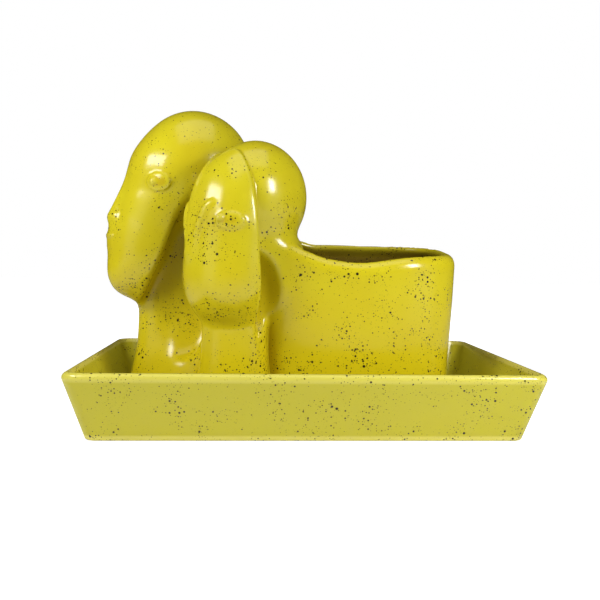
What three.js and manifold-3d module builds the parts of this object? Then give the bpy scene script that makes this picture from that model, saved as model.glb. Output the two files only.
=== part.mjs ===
// Couple figure planter in glazed, slip-cast ceramic.
// Two bald, stylised heads stand side by side on their necks and run back into one oblong
// plant vessel. All of that is a single hollow casting, which stands in a flared drip tray.
// Millimetres, +Z up. The origin is on the table below the middle of the tray, both faces
// look towards -X, and the vessel's long axis runs along X.

import * as THREE from 'three';
import { mergeVertices } from 'three/addons/utils/BufferGeometryUtils.js';
import Module from 'manifold-3d';

const wasm = await Module();
wasm.setup();

// Castings: wall of the planter, floor of the vessel, and the gap where it stands in the tray
const PLANTER_WALL = 5;
const VESSEL_FLOOR = 6;
const SEAT_GAP = 0.3;

// Drip tray: section, plan corners, and the room that it leaves round the planter's foot
const TRAY_HEIGHT = 43.4;
const TRAY_WALL = 5;
const TRAY_FLOOR = 6;
const TRAY_FLARE = 13.3;
const TRAY_CORNER = 10;
const TRAY_RIM_OUTER = 3.5;
const TRAY_RIM_INNER = 1.4;
const TRAY_FILLET = 6;
const TRAY_EASE = 1.2;
const ROOM_BEFORE_FACES = 6.97;
const ROOM_BEHIND_VESSEL = 28.97;
const ROOM_AT_NEAR_SIDE = 32.29;
const ROOM_AT_FAR_SIDE = 37.27;

// Vessel: an upright squared oval that widens a little towards its rim
const VESSEL_HALF_LENGTH = 67.3;
const VESSEL_HALF_WIDTH = 46.5;
const VESSEL_END_FLARE = 5.5;
const VESSEL_SIDE_FLARE = 3.5;
const VESSEL_SQUARENESS = 2.7;

// Rim: it falls to the near side, dips there in a bell curve and climbs to the napes
const RIM_HEIGHT = 120.5;
const RIM_ROUND = 10;
const RIM_FALL_TO_NEAR_SIDE = 0.1;
const RIM_DIP = 4.2;
const RIM_DIP_X = -2.5;
const RIM_DIP_SPAN = 24;
const RIM_DIP_FROM_Y = 9;
const RIM_DIP_FULL_Y = -41;
const RIM_RISE_AT_NAPES = 5;
const RIM_RISE_FROM_X = -22.5;
const RIM_RISE_FULL_X = -46.5;
const LIP_INSET = 7.5;
const LIP_ROUND = 3;
const LIP_EASE = 1.2;

// Foot: tucked edge, shallow recess under the vessel with the drain hole in its middle, and a
// vent under the taller neck, which the closed hollow of the figures needs in the kiln
const FOOT_TUCK = 2.5;
const FOOT_RING = 10;
const RECESS_DEPTH = 2;
const DRAIN_DIAMETER = 13;
const VENT_DIAMETER = 8;

// Taller figure: its neck is an oval column, measured from the middle of the vessel
const MAN_NECK_X = -128.7;
const MAN_NECK_Y = 22;
const MAN_NECK_HALF_DEPTH = 30.6;
const MAN_NECK_HALF_WIDTH = 16;
const MAN_NECK_SWELL = 7;
const MAN_NECK_TOP = 150;
const MAN_HEAD_X = -134.8;
const MAN_HEAD_Y = 15;
const MAN_HEAD_CENTRE = 152.5;
const MAN_TURN = 14;

// Shorter figure, nearer the viewer and turned further out
const WOMAN_NECK_X = -86;
const WOMAN_NECK_Y = -27;
const WOMAN_NECK_HALF_DEPTH = 22.6;
const WOMAN_NECK_HALF_WIDTH = 24;
const WOMAN_NECK_SWELL = 2.48;
const WOMAN_NECK_TOP = 150;
const WOMAN_HEAD_X = -81.3;
const WOMAN_HEAD_Y = -29;
const WOMAN_HEAD_CENTRE = 129.2;
const WOMAN_TURN = 30;

// Both necks swell towards the foot in a bell curve of height
const NECK_SWELL_HEIGHT = 14;
const NECK_SWELL_SPAN = 26;

// Low saddle that joins the necks to each other and to the vessel
const SADDLE_X = -88.5;
const SADDLE_Y = 15;
const SADDLE_HALF_LENGTH = 42;
const SADDLE_HALF_WIDTH = 34;
const SADDLE_TOP = 92;

// Mesh steps: fine over the faces, coarser over the plain vessel and inside the casting
const FACE_STEP = 4.8;
const HEAD_STEP = 7;
const VESSEL_STEP = 12;
const HOLLOW_STEP = 14;
const RIM_STATIONS = 48;
const CORNER_STATIONS = 7;

// Masses of the heads. Each is an ellipsoid: its centre lies forward, aside and up from the
// head's centre, then come its half depth, half width and half height, and the blend into
// what came before it. "both" puts a copy on either side of the face.
const MAN_SKULL = { forward: -17.5, aside: 0, up: 27, depth: 42, width: 33, height: 42, blend: 0 };
const MAN_FACE = [
  { forward: 7, aside: 0, up: -22, depth: 33, width: 27, height: 57, blend: 0 },
  { forward: 20, aside: 0, up: -40, depth: 23, width: 20, height: 29, blend: 14 },
];
const MAN_FEATURES = [
  { forward: 13, aside: 0, up: 27, depth: 15.5, width: 20, height: 13, blend: 9 },
  { forward: 38, aside: 4.5, up: -11, depth: 5, width: 3.6, height: 3.8, blend: 3, both: true },
  { forward: 33, aside: 0, up: -28, depth: 13, width: 13, height: 21, blend: 4 },
  { forward: 41, aside: 0, up: -24.5, depth: 4.5, width: 10, height: 3, blend: 2.5 },
  { forward: 40, aside: 0, up: -32, depth: 4.5, width: 8.5, height: 3.4, blend: 2.5 },
  { forward: 33, aside: 0, up: -51, depth: 12, width: 13, height: 15, blend: 8 },
];
const WOMAN_HAIR = { forward: -11, aside: 0, up: 26.5, depth: 37, width: 30, height: 38.5, blend: 0 };
const WOMAN_FACE = [
  { forward: 6, aside: 0, up: 1, depth: 33, width: 31.5, height: 56, blend: 0 },
  { forward: 9, aside: 0, up: -33, depth: 29, width: 28.5, height: 31, blend: 14 },
];

// Edges behind which the faces are cut off. They lean: "lean" is forward travel per rise.
const MAN_JAW = { forward: -9, lean: -0.346, blend: 9 };
const WOMAN_MASK_EDGE = { forward: 4.8, lean: 0.08, blend: 4 };

// Pits pressed into the casting behind the faces, where the necks are set back
const MAN_PIT = { forward: -10, aside: 22, up: -48, depth: 24, width: 14, height: 44, blend: 10 };
const WOMAN_PIT = { forward: 2.4, aside: 23.8, up: -40, depth: 17, width: 16, height: 28, blend: 6 };

// Skin of the shorter face, raised below a hairline that climbs aside to a point at each temple
const SKIN_RISE = 2;
const SKIN_EASE = 4;
const HAIRLINE = { forward: 0.337, aside: 0.908, up: -0.248, middle: 10 };

// Eyes: a lid like a shallow lens, set square to the skin, which faces "aim" degrees aside
const MAN_EYE = { forward: 12.6, aside: 26, up: 13.5, aim: 66 };
const WOMAN_EYE = { forward: 25.8, aside: 27.2, up: 9, aim: 56 };
const EYELID = { forward: 0, aside: 0, up: 0, depth: 2.2, width: 8, height: 6, blend: 3 };

// Rods in a head's own directions: the bridges of the noses and a brow
const MAN_NOSE = { top: [26, 0, 20], tip: [41.4, 0, -11], topRadius: 3.4, tipRadius: 4.6, blend: 6 };
const WOMAN_NOSE = { top: [35, 0, 20], tip: [38.8, 0, -12], topRadius: 3, tipRadius: 4.2, blend: 6 };
const WOMAN_BROW = { top: [30.5, 18.5, 22.5], tip: [38.5, 8.5, 5], topRadius: 1.8, tipRadius: 2.6, blend: 5 };

// Rods in the casting's own directions: the napes run from under the back of each head down
// into the vessel, and a flared root stands at the foot of the taller neck
const WOMAN_NAPE = { top: [-71.5, -20, 150], tip: [-71.5, -18, 96], topRadius: 27, tipRadius: 29, blend: 12 };
const MAN_NAPE = { top: [-116.5, 22, 150], tip: [-108.5, 20, 90], topRadius: 20, tipRadius: 24, blend: 10 };
const MAN_ROOT = { top: [-124, 12, 52], tip: [-124, 2, -5], topRadius: 9, tipRadius: 26, blend: 16 };

// Blends between the masses and columns
const SADDLE_BLEND = 10;
const SADDLE_TOP_BLEND = 20;
const NECK_TOP_BLEND = 6;
const MAN_NECK_BLEND = 7;
const MAN_FACE_BLEND = 18;
const MAN_HEAD_BLEND = 9;
const WOMAN_HEAD_BLEND = 4;
const BETWEEN_FIGURES_BLEND = 3;
const MAN_NECK_SQUARENESS = 2.3;
const WOMAN_NECK_SQUARENESS = 2.6;
const SADDLE_SQUARENESS = 2.4;

// Fineness of the numeric work: step for a slope, passes of settling and of halving
const SLOPE_STEP = 0.05;
const SETTLE_PASSES = 4;
const HALVING_PASSES = 40;
const FAR_AWAY = 1e3;

// Heights and plan places that follow from the sizes above
const FOOT_Z = TRAY_FLOOR + SEAT_GAP;
const VESSEL_FLOOR_Z = FOOT_Z + RECESS_DEPTH + VESSEL_FLOOR;
const FOOT_LEFT = MAN_NECK_X - MAN_NECK_HALF_DEPTH - MAN_NECK_SWELL;
const FOOT_RIGHT = VESSEL_HALF_LENGTH;
const FOOT_NEAR = WOMAN_NECK_Y - WOMAN_NECK_HALF_WIDTH - WOMAN_NECK_SWELL;
const FOOT_FAR = VESSEL_HALF_WIDTH;
const TRAY_INSIDE_LENGTH = FOOT_RIGHT - FOOT_LEFT + ROOM_BEFORE_FACES + ROOM_BEHIND_VESSEL;
const TRAY_INSIDE_WIDTH = FOOT_FAR - FOOT_NEAR + ROOM_AT_NEAR_SIDE + ROOM_AT_FAR_SIDE;
const FLARE_ABOVE_FLOOR = TRAY_FLARE * (1 - TRAY_FLOOR / TRAY_HEIGHT);
const TRAY_HALF_LENGTH = TRAY_INSIDE_LENGTH / 2 + TRAY_WALL + FLARE_ABOVE_FLOOR;
const TRAY_HALF_WIDTH = TRAY_INSIDE_WIDTH / 2 + TRAY_WALL + FLARE_ABOVE_FLOOR;
const PLANTER_X = TRAY_INSIDE_LENGTH / 2 - ROOM_BEHIND_VESSEL - FOOT_RIGHT;
const PLANTER_Y = TRAY_INSIDE_WIDTH / 2 - ROOM_AT_FAR_SIDE - FOOT_FAR;

// Smooth union of two fields: they melt together where they are within "blend" of each other
function meld(a, b, blend) {
  const near = Math.max(blend - Math.abs(a - b), 0) / Math.max(blend, 1e-6);
  return Math.min(a, b) - (near * near * blend) / 4;
}

// Smooth intersection of two fields
function trim(a, b, blend) {
  return -meld(-a, -b, blend);
}

// Eased step from 0 at "from" to 1 at "to"
function easedStep(from, to, value) {
  const t = Math.min(Math.max((value - from) / (to - from), 0), 1);
  return t * t * (3 - 2 * t);
}

// Distance to an ellipsoid, negative inside
function ellipsoid(forward, aside, up, mass) {
  const u = forward - mass.forward;
  const v = aside - mass.aside;
  const w = up - mass.up;
  const k0 = Math.hypot(u / mass.depth, v / mass.width, w / mass.height);
  const k1 = Math.hypot(u / mass.depth ** 2, v / mass.width ** 2, w / mass.height ** 2);
  return (k0 * (k0 - 1)) / Math.max(k1, 1e-9);
}

// Distance to a rod with round ends that tapers from its top to its tip
function taperedRod(point, rod) {
  const along = rod.tip.map((value, axis) => value - rod.top[axis]);
  const offset = point.map((value, axis) => value - rod.top[axis]);
  const length2 = along.reduce((sum, value) => sum + value * value, 0);
  const dot = along.reduce((sum, value, axis) => sum + value * offset[axis], 0);
  const t = Math.min(Math.max(dot / length2, 0), 1);
  const gap = Math.hypot(...offset.map((value, axis) => value - along[axis] * t));
  return gap - (rod.topRadius + (rod.tipRadius - rod.topRadius) * t);
}

// Distance to an upright column whose plan is a squared oval
function ovalColumn(x, y, halfLength, halfWidth, squareness) {
  const sx = Math.abs(x / halfLength);
  const sy = Math.abs(y / halfWidth);
  const k = Math.max((sx ** squareness + sy ** squareness) ** (1 / squareness), 1e-6);
  const gx = (sx / k) ** (squareness - 1) / halfLength;
  const gy = (sy / k) ** (squareness - 1) / halfWidth;
  return (k - 1) / Math.hypot(gx, gy);
}

// Coordinates of a point in a head's own directions: forward, to its left hand, and up
function inHead(x, y, z, centre, turn) {
  const angle = THREE.MathUtils.degToRad(turn);
  const dx = x - centre[0];
  const dy = y - centre[1];
  const forward = -dx * Math.cos(angle) - dy * Math.sin(angle);
  const aside = dx * Math.sin(angle) - dy * Math.cos(angle);
  return [forward, aside, z - centre[2]];
}

// Coordinates of a point in an eye's own directions: out of the skin, along it, and up
function inEye([forward, aside, up], eye) {
  const angle = THREE.MathUtils.degToRad(eye.aim);
  const ahead = forward - eye.forward;
  const outward = Math.abs(aside) - eye.aside;
  const out = ahead * Math.cos(angle) + outward * Math.sin(angle);
  const along = outward * Math.cos(angle) - ahead * Math.sin(angle);
  return [out, along, up - eye.up];
}

// Melds a list of ellipsoid masses into a field
function addMasses(field, masses, [forward, aside, up]) {
  let result = field;
  for (const mass of masses) {
    const side = mass.both ? Math.abs(aside) : aside;
    result = meld(result, ellipsoid(forward, side, up, mass), mass.blend);
  }
  return result;
}

// Melds a rod into a field
function addRod(field, rod, point) {
  return meld(field, taperedRod(point, rod), rod.blend);
}

// Keeps what lies in front of a leaning edge
function cutBehind(field, edge, [forward, , up]) {
  return trim(field, edge.forward + edge.lean * up - forward, edge.blend);
}

// Taller head: a skull, and a long face that is cut off along the jaw line
function manHead(point, detailed) {
  const [forward, aside, up] = point;
  const face = cutBehind(addMasses(FAR_AWAY, MAN_FACE, point), MAN_JAW, point);
  const head = meld(ellipsoid(forward, aside, up, MAN_SKULL), face, MAN_FACE_BLEND);
  if (!detailed) {
    return head;
  }
  const featured = addMasses(addRod(head, MAN_NOSE, point), MAN_FEATURES, point);
  return addMasses(featured, [EYELID], inEye(point, MAN_EYE));
}

// Shorter head: a face like a mask, cut off behind so that its edge stands proud of a smooth
// cap of hair, with its skin raised below the hairline
function womanHead(point, detailed) {
  const [forward, aside, up] = point;
  const face = cutBehind(addMasses(FAR_AWAY, WOMAN_FACE, point), WOMAN_MASK_EDGE, point);
  const head = meld(ellipsoid(forward, aside, up, WOMAN_HAIR), face, WOMAN_MASK_EDGE.blend);
  if (!detailed) {
    return head;
  }
  const belowHairline = HAIRLINE.forward * forward + HAIRLINE.aside * Math.abs(aside)
    + HAIRLINE.up * (up - HAIRLINE.middle);
  const skin = cutBehind(trim(head - SKIN_RISE, -belowHairline, SKIN_EASE), WOMAN_MASK_EDGE, point);
  const bridged = addRod(meld(head, skin, SKIN_EASE), WOMAN_NOSE, point);
  const browed = addRod(bridged, WOMAN_BROW, [forward, Math.abs(aside), up]);
  return addMasses(browed, [EYELID], inEye(point, WOMAN_EYE));
}

// Height of the vessel's rim
function rimHeight(x, y) {
  const nearSide = easedStep(RIM_DIP_FROM_Y, RIM_DIP_FULL_Y, y);
  const dip = RIM_DIP * Math.exp(-(((x - RIM_DIP_X) / RIM_DIP_SPAN) ** 2)) * nearSide;
  const climb = RIM_RISE_AT_NAPES * easedStep(RIM_RISE_FROM_X, RIM_RISE_FULL_X, x);
  return RIM_HEIGHT + RIM_FALL_TO_NEAR_SIDE * y - dip + climb;
}

// Plan field of the vessel at a height; "inset" draws it in on every side
function vesselPlan(x, y, z, inset) {
  const rise = (z - FOOT_Z) / (RIM_HEIGHT - FOOT_Z);
  const halfLength = VESSEL_HALF_LENGTH + VESSEL_END_FLARE * rise - inset;
  const halfWidth = VESSEL_HALF_WIDTH + VESSEL_SIDE_FLARE * rise - inset;
  return ovalColumn(x, y, halfLength, halfWidth, VESSEL_SQUARENESS);
}

// A neck: an oval column that swells at the foot and ends inside the head
function neck(x, y, z, halfDepth, halfWidth, swell, squareness, top) {
  const wider = swell * Math.exp(-(((z - NECK_SWELL_HEIGHT) / NECK_SWELL_SPAN) ** 2));
  const column = ovalColumn(x, y, halfDepth + wider, halfWidth + wider, squareness);
  return trim(column, z - top, NECK_TOP_BLEND);
}

// Necks, heads, napes and saddle without the vessel: the part that stays closed on top
function figures(x, y, z, detailed, seed) {
  const manNeck = neck(x - MAN_NECK_X, y - MAN_NECK_Y, z, MAN_NECK_HALF_DEPTH,
    MAN_NECK_HALF_WIDTH, MAN_NECK_SWELL, MAN_NECK_SQUARENESS, MAN_NECK_TOP);
  const womanNeck = neck(x - WOMAN_NECK_X, y - WOMAN_NECK_Y, z, WOMAN_NECK_HALF_DEPTH,
    WOMAN_NECK_HALF_WIDTH, WOMAN_NECK_SWELL, WOMAN_NECK_SQUARENESS, WOMAN_NECK_TOP);
  const saddlePlan = ovalColumn(x - SADDLE_X, y - SADDLE_Y,
    SADDLE_HALF_LENGTH, SADDLE_HALF_WIDTH, SADDLE_SQUARENESS);
  const saddle = trim(saddlePlan, z - SADDLE_TOP, SADDLE_TOP_BLEND);
  const inMan = inHead(x, y, z, [MAN_HEAD_X, MAN_HEAD_Y, MAN_HEAD_CENTRE], MAN_TURN);
  const inWoman = inHead(x, y, z, [WOMAN_HEAD_X, WOMAN_HEAD_Y, WOMAN_HEAD_CENTRE], WOMAN_TURN);

  let body = addRod(seed, WOMAN_NAPE, [x, y, z]);
  body = meld(body, saddle, SADDLE_BLEND);
  body = addRod(body, MAN_NAPE, [x, y, z]);
  body = meld(body, manNeck, MAN_NECK_BLEND);
  body = addRod(body, MAN_ROOT, [x, y, z]);
  body = trim(body, -ellipsoid(...inMan, MAN_PIT), MAN_PIT.blend);
  body = meld(body, manHead(inMan, detailed), MAN_HEAD_BLEND);

  body = meld(body, womanNeck, BETWEEN_FIGURES_BLEND);
  const pit = trim(ellipsoid(...inWoman, WOMAN_PIT),
    inWoman[0] - WOMAN_MASK_EDGE.forward - WOMAN_MASK_EDGE.lean * inWoman[2], WOMAN_PIT.blend);
  body = trim(body, -pit, WOMAN_PIT.blend);
  return meld(body, womanHead(inWoman, detailed), WOMAN_HEAD_BLEND);
}

// Quarter-round that tucks every upright wall in where it meets the foot
function footTuck(z) {
  const depth = Math.min(Math.max(FOOT_TUCK - (z - FOOT_Z), 0), FOOT_TUCK);
  return FOOT_TUCK - Math.sqrt(FOOT_TUCK ** 2 - depth ** 2);
}

// Outside of the casting. It runs on below the foot, which is cut flat afterwards.
function outside(x, y, z) {
  const vessel = trim(vesselPlan(x, y, z, 0), z - rimHeight(x, y), RIM_ROUND);
  const body = figures(x, y, z, true, vessel) + footTuck(z);
  return Math.max(body, FOOT_Z - HEAD_STEP - z);
}

// Plan field of the opening: the vessel drawn in by the wall, and clear of the napes' own lip
function openingPlan(x, y, z, inset) {
  const level = Math.min(z, RIM_HEIGHT);
  const inner = vesselPlan(x, y, level, inset);
  const beforeNape = PLANTER_WALL - figures(x, y, RIM_HEIGHT, false, FAR_AWAY);
  return trim(inner, beforeNape, RIM_ROUND);
}

// Hollow of the figures: their plain form drawn in by the wall on every side, with one more
// wall left standing between it and the inside of the vessel
function figureHollow(x, y, z) {
  const inner = figures(x, y, z, false, FAR_AWAY) + PLANTER_WALL;
  const vesselInside = Math.max(openingPlan(x, y, z, PLANTER_WALL), z - RIM_HEIGHT);
  const besideVessel = trim(inner, PLANTER_WALL - vesselInside, PLANTER_WALL);
  return trim(besideVessel, FOOT_Z + PLANTER_WALL - z, PLANTER_WALL);
}

// Grid lines through a row of stops, evenly spaced between each two, no wider than the step
function gradedLines(stops, steps) {
  const lines = [stops[0]];
  steps.forEach((step, span) => {
    const from = stops[span];
    const length = stops[span + 1] - from;
    const count = Math.ceil(length / step);
    for (let i = 1; i <= count; i += 1) {
      lines.push(from + (length * i) / count);
    }
  });
  return lines;
}

// Slope of a field by central differences
function slope(field, p) {
  return [0, 1, 2].map((axis) => {
    const ahead = [...p];
    const behind = [...p];
    ahead[axis] += SLOPE_STEP;
    behind[axis] -= SLOPE_STEP;
    return (field(...ahead) - field(...behind)) / (2 * SLOPE_STEP);
  });
}

// Moves a point along the slope on to the surface, within its own cell
function settle(field, start, reach) {
  let p = [...start];
  for (let pass = 0; pass < SETTLE_PASSES; pass += 1) {
    const g = slope(field, p);
    const size2 = Math.max(g[0] ** 2 + g[1] ** 2 + g[2] ** 2, 1e-6);
    const value = field(...p);
    p = p.map((coordinate, axis) => {
      const moved = coordinate - (value * g[axis]) / size2;
      return Math.min(Math.max(moved, start[axis] - reach[axis]), start[axis] + reach[axis]);
    });
  }
  return p;
}

// The two axes other than the given one
const OTHER_AXES = [[1, 2], [0, 2], [0, 1]];

// Number of a cell's edge that runs along an axis at the given 0 or 1 offsets
function edgeNumber(axis, offsets) {
  const [b, c] = OTHER_AXES[axis];
  return 4 * axis + offsets[b] + 2 * offsets[c];
}

// The four corners of each face of a cell, in order round the face
function faceCorners() {
  const faces = [];
  for (let axis = 0; axis < 3; axis += 1) {
    const [b, c] = OTHER_AXES[axis];
    for (const side of [0, 1]) {
      faces.push([[0, 0], [1, 0], [1, 1], [0, 1]].map(([atB, atC]) => {
        const corner = [side, side, side];
        corner[b] = atB;
        corner[c] = atC;
        return corner;
      }));
    }
  }
  return faces;
}

const FACES = faceCorners();

// Number of the edge between two neighbouring corners of a cell
function edgeBetween(from, to) {
  const axis = [0, 1, 2].find((each) => from[each] !== to[each]);
  return edgeNumber(axis, from);
}

// Loops of crossed edges in one cell. Crossed edges are linked across each face; where a face
// is crossed four times, the links go round its inside corners, so that sheets stay apart.
function crossedLoops(isInside) {
  const links = new Map();
  const link = (a, b) => {
    links.set(a, [...(links.get(a) ?? []), b]);
    links.set(b, [...(links.get(b) ?? []), a]);
  };
  for (const corners of FACES) {
    const edges = corners.map((corner, i) => edgeBetween(corner, corners[(i + 1) % 4]));
    const inside = corners.map(isInside);
    const crossed = edges.filter((edge, i) => inside[i] !== inside[(i + 1) % 4]);
    if (crossed.length === 2) {
      link(crossed[0], crossed[1]);
    } else if (crossed.length === 4) {
      inside.forEach((value, i) => value && link(edges[(i + 3) % 4], edges[i]));
    }
  }
  const loops = [];
  const seen = new Set();
  for (const start of links.keys()) {
    const loop = [];
    const waiting = [start];
    while (waiting.length > 0) {
      const edge = waiting.pop();
      if (!seen.has(edge)) {
        seen.add(edge);
        loop.push(edge);
        waiting.push(...links.get(edge));
      }
    }
    if (loop.length > 0) {
      loops.push(loop);
    }
  }
  return loops;
}

// Surface net: in each grid cell, one vertex for each loop of edges that the field's zero
// surface crosses, and a quad round each crossed grid edge. Returns a solid.
function surfaceNet(field, xs, ys, zs) {
  const lines = [xs, ys, zs];
  const counts = lines.map((line) => line.length);
  const strides = [counts[1] * counts[2], counts[2], 1];
  const values = new Float64Array(counts[0] * counts[1] * counts[2]);
  const vertexAt = new Map();
  const positions = [];
  const triangles = [];
  const indexOf = (node) => node[0] * strides[0] + node[1] * strides[1] + node[2];

  const forEachNode = (trimmed, visit) => {
    for (let i = 0; i < counts[0] - trimmed; i += 1) {
      for (let j = 0; j < counts[1] - trimmed; j += 1) {
        for (let k = 0; k < counts[2] - trimmed; k += 1) {
          visit([i, j, k]);
        }
      }
    }
  };

  const crossingOn = (cell, edge) => {
    const axis = edge >> 2;
    const [b, c] = OTHER_AXES[axis];
    const start = [...cell];
    start[b] += edge & 1;
    start[c] += (edge >> 1) & 1;
    const before = values[indexOf(start)];
    const after = values[indexOf(start) + strides[axis]];
    const point = start.map((index, each) => lines[each][index]);
    point[axis] += ((lines[axis][start[axis] + 1] - point[axis]) * before) / (before - after);
    return point;
  };

  const addCell = (cell) => {
    const isInside = (corner) => values[indexOf(cell.map((index, axis) => index + corner[axis]))] < 0;
    const reach = cell.map((index, axis) => (lines[axis][index + 1] - lines[axis][index]) / 3);
    for (const loop of crossedLoops(isInside)) {
      const points = loop.map((edge) => crossingOn(cell, edge));
      const mean = [0, 1, 2].map((axis) =>
        points.reduce((sum, point) => sum + point[axis], 0) / points.length);
      loop.forEach((edge) => vertexAt.set(12 * indexOf(cell) + edge, positions.length));
      positions.push(settle(field, mean, reach));
    }
  };

  const spread = (a, b) => Math.hypot(...[0, 1, 2].map((axis) => positions[a][axis] - positions[b][axis]));
  const addQuad = ([p, q, r, s]) => {
    if (spread(p, r) < spread(q, s)) {
      triangles.push(p, q, r, p, r, s);
    } else {
      triangles.push(p, q, s, q, r, s);
    }
  };

  const addEdge = (node, axis) => {
    const [b, c] = [(axis + 1) % 3, (axis + 2) % 3];
    const startsInside = values[indexOf(node)] < 0;
    const endsInside = values[indexOf(node) + strides[axis]] < 0;
    if (startsInside === endsInside || node[b] === 0 || node[c] === 0) {
      return;
    }
    const ring = [[0, 0], [1, 0], [1, 1], [0, 1]].map(([atB, atC]) => {
      const offsets = [0, 0, 0];
      offsets[b] = atB;
      offsets[c] = atC;
      const cell = node.map((index, each) => index - offsets[each]);
      return vertexAt.get(12 * indexOf(cell) + edgeNumber(axis, offsets));
    });
    addQuad(startsInside ? ring : ring.reverse());
  };

  forEachNode(0, (node) => {
    values[indexOf(node)] = field(xs[node[0]], ys[node[1]], zs[node[2]]);
  });
  forEachNode(1, addCell);
  forEachNode(1, (node) => [0, 1, 2].forEach((axis) => addEdge(node, axis)));
  return solidFrom(positions, triangles);
}

// A manifold solid from a list of points and a list of vertex numbers
function solidFrom(positions, triangles) {
  return new wasm.Manifold(new wasm.Mesh({
    numProp: 3,
    vertProperties: new Float32Array(positions.flat()),
    triVerts: new Uint32Array(triangles),
  }));
}

// Closed loft through rings with the same number of points, listed from the bottom up and
// anticlockwise from above, with a fan of triangles over the first and the last ring
function loft(rings) {
  const count = rings[0].length;
  const positions = rings.flat();
  const triangles = [];
  for (let ring = 0; ring < rings.length - 1; ring += 1) {
    for (let i = 0; i < count; i += 1) {
      const next = (i + 1) % count;
      const low = ring * count;
      const high = low + count;
      triangles.push(low + i, low + next, high + next, low + i, high + next, high + i);
    }
  }
  const addCap = (ring, faces) => {
    const centre = [0, 1, 2].map((axis) =>
      ring.reduce((sum, point) => sum + point[axis], 0) / count);
    const hub = positions.length;
    positions.push(centre);
    for (let i = 0; i < count; i += 1) {
      triangles.push(...faces(hub, i, (i + 1) % count));
    }
  };
  addCap(rings[0], (hub, i, next) => [hub, next, i]);
  const top = (rings.length - 1) * count;
  addCap(rings.at(-1), (hub, i, next) => [hub, top + i, top + next]);
  return solidFrom(positions, triangles);
}

// One ring of the vessel's inside: the plan field is followed outward from the middle
function openingRing(heightAt, inset) {
  const ring = [];
  for (let i = 0; i < RIM_STATIONS; i += 1) {
    const angle = (2 * Math.PI * i) / RIM_STATIONS;
    let inner = 0;
    let outer = VESSEL_HALF_LENGTH * 2;
    for (let pass = 0; pass < HALVING_PASSES; pass += 1) {
      const middle = (inner + outer) / 2;
      const x = middle * Math.cos(angle);
      const y = middle * Math.sin(angle);
      if (openingPlan(x, y, heightAt(x, y), inset) < 0) {
        inner = middle;
      } else {
        outer = middle;
      }
    }
    const x = inner * Math.cos(angle);
    const y = inner * Math.sin(angle);
    ring.push([x, y, heightAt(x, y)]);
  }
  return ring;
}

// Inside of the vessel: rounded at the floor, straight up the walls, drawn in under the lip
function vesselHollow() {
  const floorRound = VESSEL_FLOOR;
  const level = (z) => () => z;
  const belowRim = (drop) => (x, y) => rimHeight(x, y) - drop;
  return loft([
    openingRing(level(VESSEL_FLOOR_Z), PLANTER_WALL + floorRound),
    openingRing(level(VESSEL_FLOOR_Z + floorRound * 0.3), PLANTER_WALL + floorRound * 0.3),
    openingRing(level(VESSEL_FLOOR_Z + floorRound), PLANTER_WALL),
    openingRing(level((VESSEL_FLOOR_Z + RIM_HEIGHT) / 2), PLANTER_WALL),
    openingRing(belowRim(RIM_ROUND), PLANTER_WALL),
    openingRing(belowRim(LIP_ROUND), LIP_INSET),
    openingRing(belowRim(0), LIP_INSET - LIP_EASE),
    openingRing(belowRim(-2 * RIM_ROUND), LIP_INSET - LIP_EASE),
  ]);
}

// A closed three.js geometry as a solid at a place
function solidOf(geometry, x, y, z) {
  const placed = geometry.clone().translate(x, y, z);
  placed.deleteAttribute('normal');
  placed.deleteAttribute('uv');
  const merged = mergeVertices(placed);
  return new wasm.Manifold(new wasm.Mesh({
    numProp: 3,
    vertProperties: merged.getAttribute('position').array,
    triVerts: new Uint32Array(merged.getIndex().array),
  }));
}

// Round hole through the bottom of the casting, long enough to pass both faces of a floor
function floorHole(x, y, diameter, middleZ) {
  const length = 3 * (VESSEL_FLOOR + RECESS_DEPTH);
  const cylinder = new THREE.CylinderGeometry(diameter / 2, diameter / 2, length, 24);
  return solidOf(cylinder.rotateX(Math.PI / 2), x, y, middleZ);
}

// Shallow recess under the vessel, which leaves a foot ring round the drain hole
function footRecess() {
  const ring = (z) => {
    const points = [];
    for (let i = 0; i < RIM_STATIONS; i += 1) {
      const angle = (2 * Math.PI * i) / RIM_STATIONS;
      const power = 2 / VESSEL_SQUARENESS;
      const x = Math.sign(Math.cos(angle)) * Math.abs(Math.cos(angle)) ** power;
      const y = Math.sign(Math.sin(angle)) * Math.abs(Math.sin(angle)) ** power;
      points.push([x * (VESSEL_HALF_LENGTH - FOOT_RING), y * (VESSEL_HALF_WIDTH - FOOT_RING), z]);
    }
    return points;
  };
  return loft([ring(FOOT_Z - RECESS_DEPTH), ring(FOOT_Z + RECESS_DEPTH)]);
}

// Everything below the foot, cut away to leave it flat
function belowFoot(margin) {
  const length = FOOT_RIGHT - FOOT_LEFT + 6 * margin;
  const width = FOOT_FAR - FOOT_NEAR + 6 * margin;
  const box = new THREE.BoxGeometry(length, width, 4 * margin);
  return solidOf(box, (FOOT_LEFT + FOOT_RIGHT) / 2, (FOOT_NEAR + FOOT_FAR) / 2, FOOT_Z - 2 * margin);
}

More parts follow.
